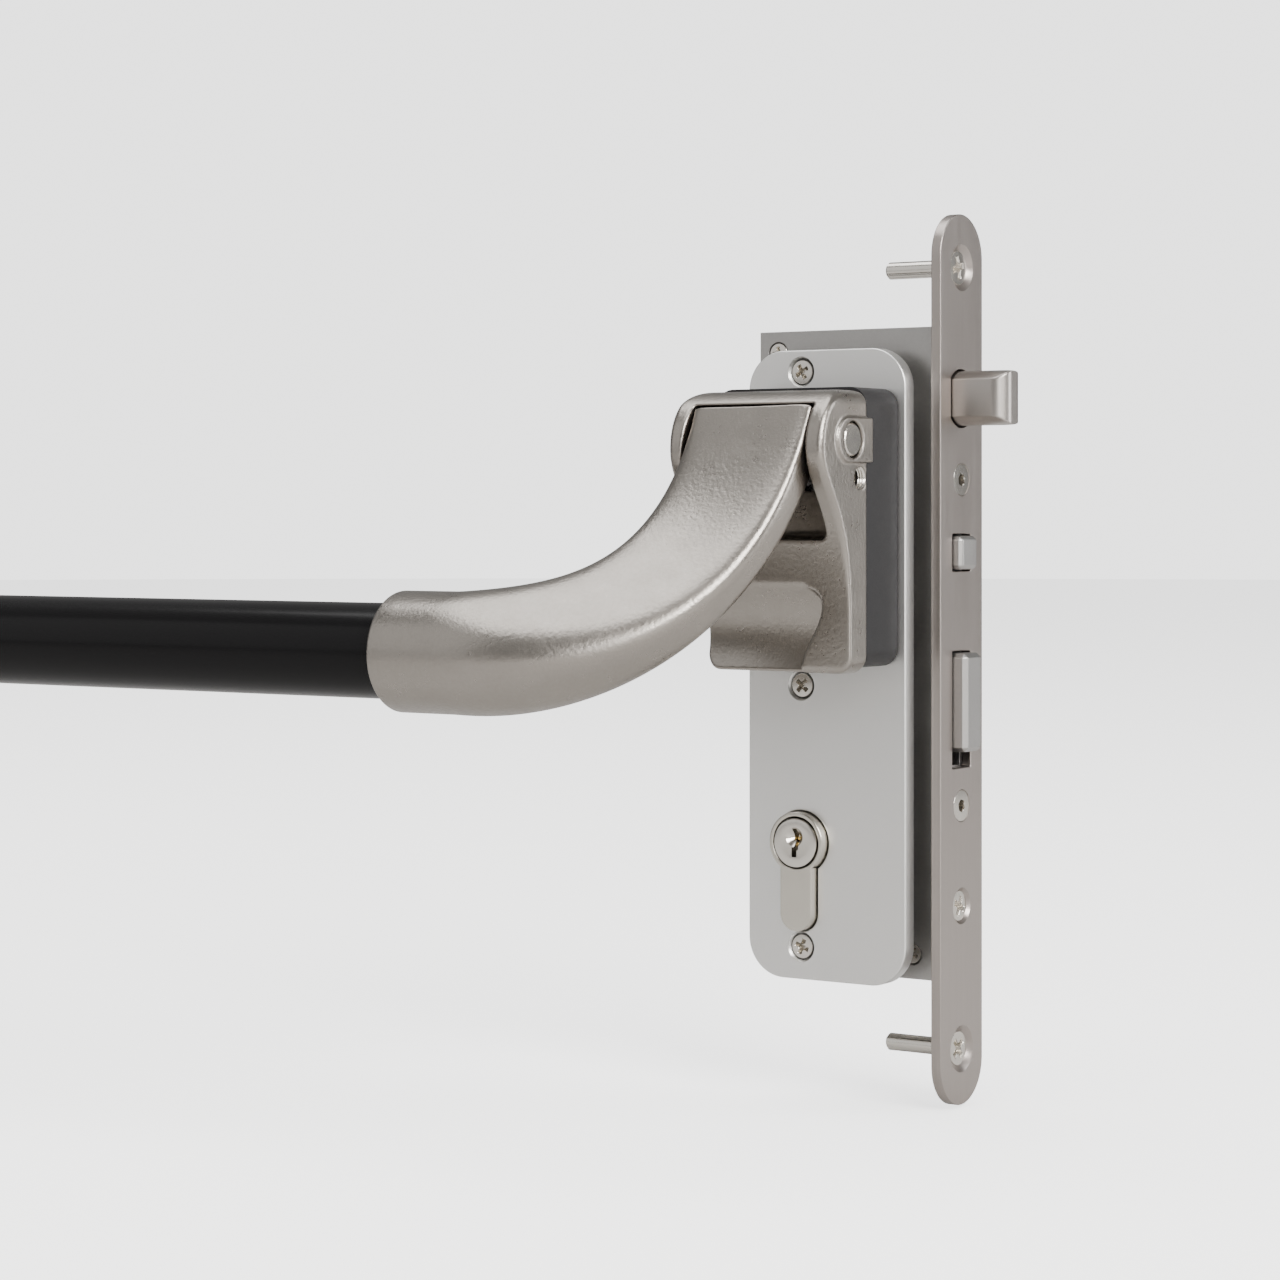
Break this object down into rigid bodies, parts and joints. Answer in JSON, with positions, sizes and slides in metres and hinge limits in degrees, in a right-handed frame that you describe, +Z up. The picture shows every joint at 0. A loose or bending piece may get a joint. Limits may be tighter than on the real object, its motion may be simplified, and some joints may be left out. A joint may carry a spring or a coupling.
{
  "type": "panic exit bar",
  "caption": "Surface-mounted panic exit bar: a tube on cast lever arms works a narrow-stile mortice lock with deadbolt, latches and euro-profile cylinder.",
  "frame": {"origin": "centre of the lock-side backplate's back face, where it meets the door", "axes": "+X along the bar towards the lock edge of the door, +Y into the door, +Z up"},
  "size_m": [0.8933, 0.1431, 0.2445],
  "materials": {
    "backplate": "satin anodised",
    "hinge_backplate": "satin anodised",
    "bracket": "satin nickel plated zinc casting, bead blasted",
    "hinge_bracket": "satin nickel plated zinc casting, bead blasted",
    "lever_arm": "satin nickel plated zinc casting, bead blasted",
    "hinge_lever_arm": "satin nickel plated zinc casting, bead blasted",
    "forend": "brushed stainless steel",
    "lock_case": "brushed stainless steel",
    "case_cover": "brushed stainless steel",
    "deadbolt": "brushed stainless steel",
    "cross_latch": "brushed stainless steel",
    "control_latch": "brushed stainless steel",
    "latch_carrier": "brushed stainless steel",
    "latch_lever": "brushed stainless steel",
    "follower": "brushed stainless steel",
    "crank": "brushed stainless steel",
    "drive_slider": "brushed stainless steel",
    "backplate_screw_top": "bright nickel plated steel",
    "backplate_screw_middle": "bright nickel plated steel",
    "backplate_screw_bottom": "bright nickel plated steel",
    "hinge_backplate_screw_top": "bright nickel plated steel",
    "hinge_backplate_screw_bottom": "bright nickel plated steel",
    "bracket_screw_lower": "bright nickel plated steel",
    "bracket_screw_right": "bright nickel plated steel",
    "bracket_screw_left": "bright nickel plated steel",
    "hinge_bracket_screw_lower": "bright nickel plated steel",
    "hinge_bracket_screw_left": "bright nickel plated steel",
    "pivot_pin": "bright nickel plated steel",
    "hinge_pivot_pin": "bright nickel plated steel",
    "pin_set_screw": "bright nickel plated steel",
    "hinge_pin_set_screw": "bright nickel plated steel",
    "bar_grub_screw": "bright nickel plated steel",
    "hinge_bar_grub_screw": "bright nickel plated steel",
    "spindle": "bright nickel plated steel",
    "forend_screw_top": "bright nickel plated steel",
    "forend_screw_bottom": "bright nickel plated steel",
    "case_screw_top": "bright nickel plated steel",
    "case_screw_bottom": "bright nickel plated steel",
    "cylinder_screw": "bright nickel plated steel",
    "case_cover_screw_top": "bright nickel plated steel",
    "case_cover_screw_middle": "bright nickel plated steel",
    "case_cover_screw_bottom": "bright nickel plated steel",
    "latch_lever_pin": "bright nickel plated steel",
    "return_spring": "drawn spring wire",
    "deadbolt_spring": "drawn spring wire",
    "cross_latch_spring": "drawn spring wire",
    "control_latch_spring": "drawn spring wire",
    "spacer": "matte charcoal moulding",
    "hinge_spacer": "matte charcoal moulding",
    "bush_left": "natural nylon",
    "bush_right": "natural nylon",
    "hinge_bush_left": "natural nylon",
    "hinge_bush_right": "natural nylon",
    "bar_tube": "satin-gloss black lacquer on steel tube",
    "cylinder_cam": "plain brass",
    "cylinder_body": "satin nickel plated brass",
    "cylinder_plug_inner": "satin nickel plated brass",
    "cylinder_plug_outer": "satin nickel plated brass"
  },
  "bodies": {
    "mounting": {"backplate": "backplate", "hinge_backplate": "hinge_backplate", "bracket": "bracket", "hinge_bracket": "hinge_bracket", "forend": "forend", "lock_case": "lock_case", "case_cover": "case_cover", "backplate_screw_top": "backplate_screw_top", "backplate_screw_middle": "backplate_screw_middle", "backplate_screw_bottom": "backplate_screw_bottom", "hinge_backplate_screw_top": "hinge_backplate_screw_top", "hinge_backplate_screw_bottom": "hinge_backplate_screw_bottom", "bracket_screw_lower": "bracket_screw_lower", "bracket_screw_right": "bracket_screw_right", "bracket_screw_left": "bracket_screw_left", "hinge_bracket_screw_lower": "hinge_bracket_screw_lower", "hinge_bracket_screw_left": "hinge_bracket_screw_left", "pivot_pin": "pivot_pin", "hinge_pivot_pin": "hinge_pivot_pin", "pin_set_screw": "pin_set_screw", "hinge_pin_set_screw": "hinge_pin_set_screw", "forend_screw_top": "forend_screw_top", "forend_screw_bottom": "forend_screw_bottom", "case_screw_top": "case_screw_top", "case_screw_bottom": "case_screw_bottom", "cylinder_screw": "cylinder_screw", "case_cover_screw_top": "case_cover_screw_top", "case_cover_screw_middle": "case_cover_screw_middle", "case_cover_screw_bottom": "case_cover_screw_bottom", "latch_lever_pin": "latch_lever_pin", "return_spring": "return_spring", "deadbolt_spring": "deadbolt_spring", "cross_latch_spring": "cross_latch_spring", "control_latch_spring": "control_latch_spring", "spacer": "spacer", "hinge_spacer": "hinge_spacer", "cylinder_body": "cylinder_body"},
    "push_bar": {"lever_arm": "lever_arm", "hinge_lever_arm": "hinge_lever_arm", "bar_tube": "bar_tube", "bush_left": "bush_left", "bush_right": "bush_right", "hinge_bush_left": "hinge_bush_left", "hinge_bush_right": "hinge_bush_right", "bar_grub_screw": "bar_grub_screw", "hinge_bar_grub_screw": "hinge_bar_grub_screw"},
    "drive_slider": {"drive_slider": "drive_slider"},
    "spindle": {"spindle": "spindle", "crank": "crank", "follower": "follower"},
    "deadbolt": {"deadbolt": "deadbolt"},
    "latch_lever": {"latch_lever": "latch_lever"},
    "latch_carrier": {"latch_carrier": "latch_carrier"},
    "cross_latch": {"cross_latch": "cross_latch"},
    "control_latch": {"control_latch": "control_latch"},
    "cylinder_inner": {"cylinder_plug_inner": "cylinder_plug_inner", "cylinder_cam": "cylinder_cam"},
    "cylinder_outer": {"cylinder_plug_outer": "cylinder_plug_outer"}
  },
  "joints": [
    {"name": "bar_push", "type": "hinge", "parent": "mounting", "child": "push_bar", "pos_m": [-0.0007, -0.0312, 0.0614], "axis": [1, 0, 0], "range_deg": [0, 22], "stiffness_Nm_per_rad": 2, "springref_deg": -40.11},
    {"name": "drive_slide", "type": "slide", "parent": "mounting", "child": "drive_slider", "axis": [0, 0, 1], "range_m": [0, 0.0075], "deforming": ["return_spring"]},
    {"name": "spindle_turn", "type": "hinge", "parent": "mounting", "child": "spindle", "pos_m": [-0.008, 0.014, 0.043], "axis": [0, -1, 0], "range_deg": [0, 34.5]},
    {"name": "deadbolt_slide", "type": "slide", "parent": "mounting", "child": "deadbolt", "axis": [-1, 0, 0], "range_m": [0, 0.017], "deforming": ["deadbolt_spring"]},
    {"name": "latch_lever_swing", "type": "hinge", "parent": "mounting", "child": "latch_lever", "pos_m": [-0.0026, 0.014, 0.014], "axis": [0, 1, 0], "range_deg": [0, 29.5]},
    {"name": "latch_carrier_slide", "type": "slide", "parent": "mounting", "child": "latch_carrier", "axis": [-1, 0, 0], "range_m": [0, 0.0049]},
    {"name": "cross_latch_slide", "type": "slide", "parent": "latch_carrier", "child": "cross_latch", "axis": [-1, 0, 0], "range_m": [0, 0.004], "stiffness_N_per_m": 250, "springref_m": -0.012, "deforming": ["cross_latch_spring"]},
    {"name": "control_latch_slide", "type": "slide", "parent": "mounting", "child": "control_latch", "axis": [-1, 0, 0], "range_m": [0, 0.0026], "stiffness_N_per_m": 200, "springref_m": -0.008, "deforming": ["control_latch_spring"]},
    {"name": "cylinder_turn", "type": "hinge", "parent": "mounting", "child": "cylinder_inner", "pos_m": [-0.008, 0.014, -0.049], "axis": [0, -1, 0], "continuous": true},
    {"name": "outer_plug_turn", "type": "hinge", "parent": "mounting", "child": "cylinder_outer", "pos_m": [-0.008, 0.014, -0.049], "axis": [0, 1, 0], "continuous": true}
  ],
  "couplings": [
    {"joint": "drive_slide", "follows": "bar_push", "m_per_rad": 0.019281},
    {"joint": "spindle_turn", "follows": "bar_push", "ratio": 1.552},
    {"joint": "deadbolt_slide", "follows": "bar_push", "m_per_rad": 0.043753},
    {"joint": "latch_lever_swing", "follows": "bar_push", "ratio": 1.3192},
    {"joint": "latch_carrier_slide", "follows": "bar_push", "m_per_rad": 0.012399}
  ]
}
